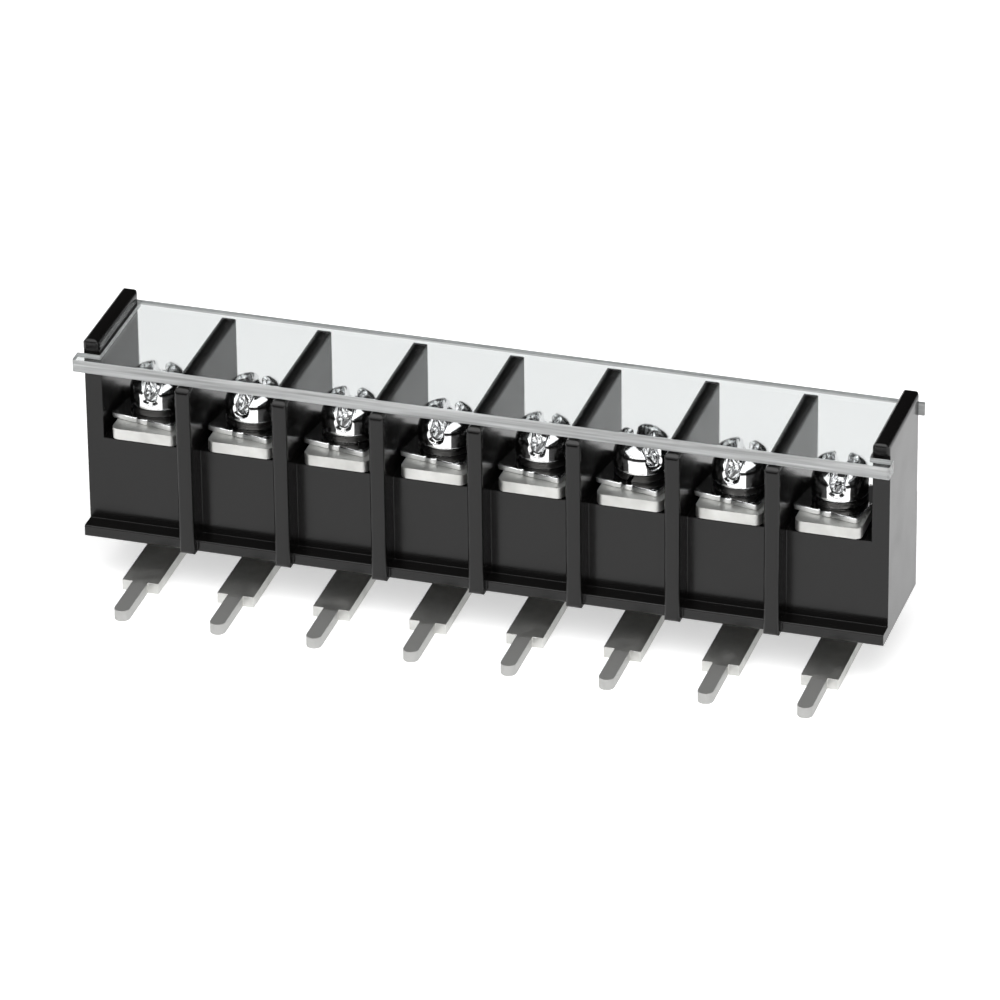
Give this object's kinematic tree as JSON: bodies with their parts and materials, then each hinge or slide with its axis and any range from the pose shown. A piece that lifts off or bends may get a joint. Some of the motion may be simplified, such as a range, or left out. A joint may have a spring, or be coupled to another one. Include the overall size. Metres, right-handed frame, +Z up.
{
  "type": "barrier terminal strip",
  "caption": "Right-angle barrier terminal strip for a circuit board, with clamping screws between moulded barriers, a clear lift-off cover and bent blade pins below.",
  "frame": {"origin": "middle of the outline, on the surface that the strip stands on, under the blades' undersides", "axes": "+X along the row of ways, +Y from the pins and wire entries to the rear, +Z up through the screws and cover"},
  "size_m": [0.079, 0.0204, 0.0251],
  "materials": {
    "housing_black": "moulded, slightly glossy",
    "cover_clear": "clear, polished",
    "terminal_tin": "bright tin plating",
    "hardware_steel": "bright nickel plating"
  },
  "bodies": {
    "strip": {"housing": "housing_black", "terminal_1": "terminal_tin", "terminal_2": "terminal_tin", "terminal_3": "terminal_tin", "terminal_4": "terminal_tin", "terminal_5": "terminal_tin", "terminal_6": "terminal_tin", "terminal_7": "terminal_tin", "terminal_8": "terminal_tin"},
    "cover": {"cover": "cover_clear"},
    "washers_1": {"flat_washer_1": "hardware_steel", "spring_washer_1": "hardware_steel"},
    "screw_1": {"screw_1": "hardware_steel"},
    "washers_2": {"flat_washer_2": "hardware_steel", "spring_washer_2": "hardware_steel"},
    "screw_2": {"screw_2": "hardware_steel"},
    "washers_3": {"flat_washer_3": "hardware_steel", "spring_washer_3": "hardware_steel"},
    "screw_3": {"screw_3": "hardware_steel"},
    "washers_4": {"flat_washer_4": "hardware_steel", "spring_washer_4": "hardware_steel"},
    "screw_4": {"screw_4": "hardware_steel"},
    "washers_5": {"flat_washer_5": "hardware_steel", "spring_washer_5": "hardware_steel"},
    "screw_5": {"screw_5": "hardware_steel"},
    "washers_6": {"flat_washer_6": "hardware_steel", "spring_washer_6": "hardware_steel"},
    "screw_6": {"screw_6": "hardware_steel"},
    "washers_7": {"flat_washer_7": "hardware_steel", "spring_washer_7": "hardware_steel"},
    "screw_7": {"screw_7": "hardware_steel"},
    "washers_8": {"flat_washer_8": "hardware_steel", "spring_washer_8": "hardware_steel"},
    "screw_8": {"screw_8": "hardware_steel"}
  },
  "joints": [
    {"name": "cover_lift", "type": "slide", "parent": "strip", "child": "cover", "axis": [0, 0, 1], "range_m": [0, 0.008]},
    {"name": "screw_1_lift", "type": "slide", "parent": "strip", "child": "washers_1", "axis": [0, 0, 1], "range_m": [0, 0.0015]},
    {"name": "screw_1_turn", "type": "hinge", "parent": "washers_1", "child": "screw_1", "pos_m": [-0.03325, 0.00265, 0.016], "axis": [0, 0, 1], "range_deg": [0, 1080]},
    {"name": "screw_2_lift", "type": "slide", "parent": "strip", "child": "washers_2", "axis": [0, 0, 1], "range_m": [0, 0.0015]},
    {"name": "screw_2_turn", "type": "hinge", "parent": "washers_2", "child": "screw_2", "pos_m": [-0.02375, 0.00265, 0.016], "axis": [0, 0, 1], "range_deg": [0, 1080]},
    {"name": "screw_3_lift", "type": "slide", "parent": "strip", "child": "washers_3", "axis": [0, 0, 1], "range_m": [0, 0.0015]},
    {"name": "screw_3_turn", "type": "hinge", "parent": "washers_3", "child": "screw_3", "pos_m": [-0.01425, 0.00265, 0.016], "axis": [0, 0, 1], "range_deg": [0, 1080]},
    {"name": "screw_4_lift", "type": "slide", "parent": "strip", "child": "washers_4", "axis": [0, 0, 1], "range_m": [0, 0.0015]},
    {"name": "screw_4_turn", "type": "hinge", "parent": "washers_4", "child": "screw_4", "pos_m": [-0.00475, 0.00265, 0.016], "axis": [0, 0, 1], "range_deg": [0, 1080]},
    {"name": "screw_5_lift", "type": "slide", "parent": "strip", "child": "washers_5", "axis": [0, 0, 1], "range_m": [0, 0.0015]},
    {"name": "screw_5_turn", "type": "hinge", "parent": "washers_5", "child": "screw_5", "pos_m": [0.00475, 0.00265, 0.016], "axis": [0, 0, 1], "range_deg": [0, 1080]},
    {"name": "screw_6_lift", "type": "slide", "parent": "strip", "child": "washers_6", "axis": [0, 0, 1], "range_m": [0, 0.0015]},
    {"name": "screw_6_turn", "type": "hinge", "parent": "washers_6", "child": "screw_6", "pos_m": [0.01425, 0.00265, 0.016], "axis": [0, 0, 1], "range_deg": [0, 1080]},
    {"name": "screw_7_lift", "type": "slide", "parent": "strip", "child": "washers_7", "axis": [0, 0, 1], "range_m": [0, 0.0015]},
    {"name": "screw_7_turn", "type": "hinge", "parent": "washers_7", "child": "screw_7", "pos_m": [0.02375, 0.00265, 0.016], "axis": [0, 0, 1], "range_deg": [0, 1080]},
    {"name": "screw_8_lift", "type": "slide", "parent": "strip", "child": "washers_8", "axis": [0, 0, 1], "range_m": [0, 0.0015]},
    {"name": "screw_8_turn", "type": "hinge", "parent": "washers_8", "child": "screw_8", "pos_m": [0.03325, 0.00265, 0.016], "axis": [0, 0, 1], "range_deg": [0, 1080]}
  ],
  "couplings": [
    {"joint": "screw_1_turn", "follows": "screw_1_lift", "rad_per_m": 12566},
    {"joint": "screw_2_turn", "follows": "screw_2_lift", "rad_per_m": 12566},
    {"joint": "screw_3_turn", "follows": "screw_3_lift", "rad_per_m": 12566},
    {"joint": "screw_4_turn", "follows": "screw_4_lift", "rad_per_m": 12566},
    {"joint": "screw_5_turn", "follows": "screw_5_lift", "rad_per_m": 12566},
    {"joint": "screw_6_turn", "follows": "screw_6_lift", "rad_per_m": 12566},
    {"joint": "screw_7_turn", "follows": "screw_7_lift", "rad_per_m": 12566},
    {"joint": "screw_8_turn", "follows": "screw_8_lift", "rad_per_m": 12566}
  ]
}
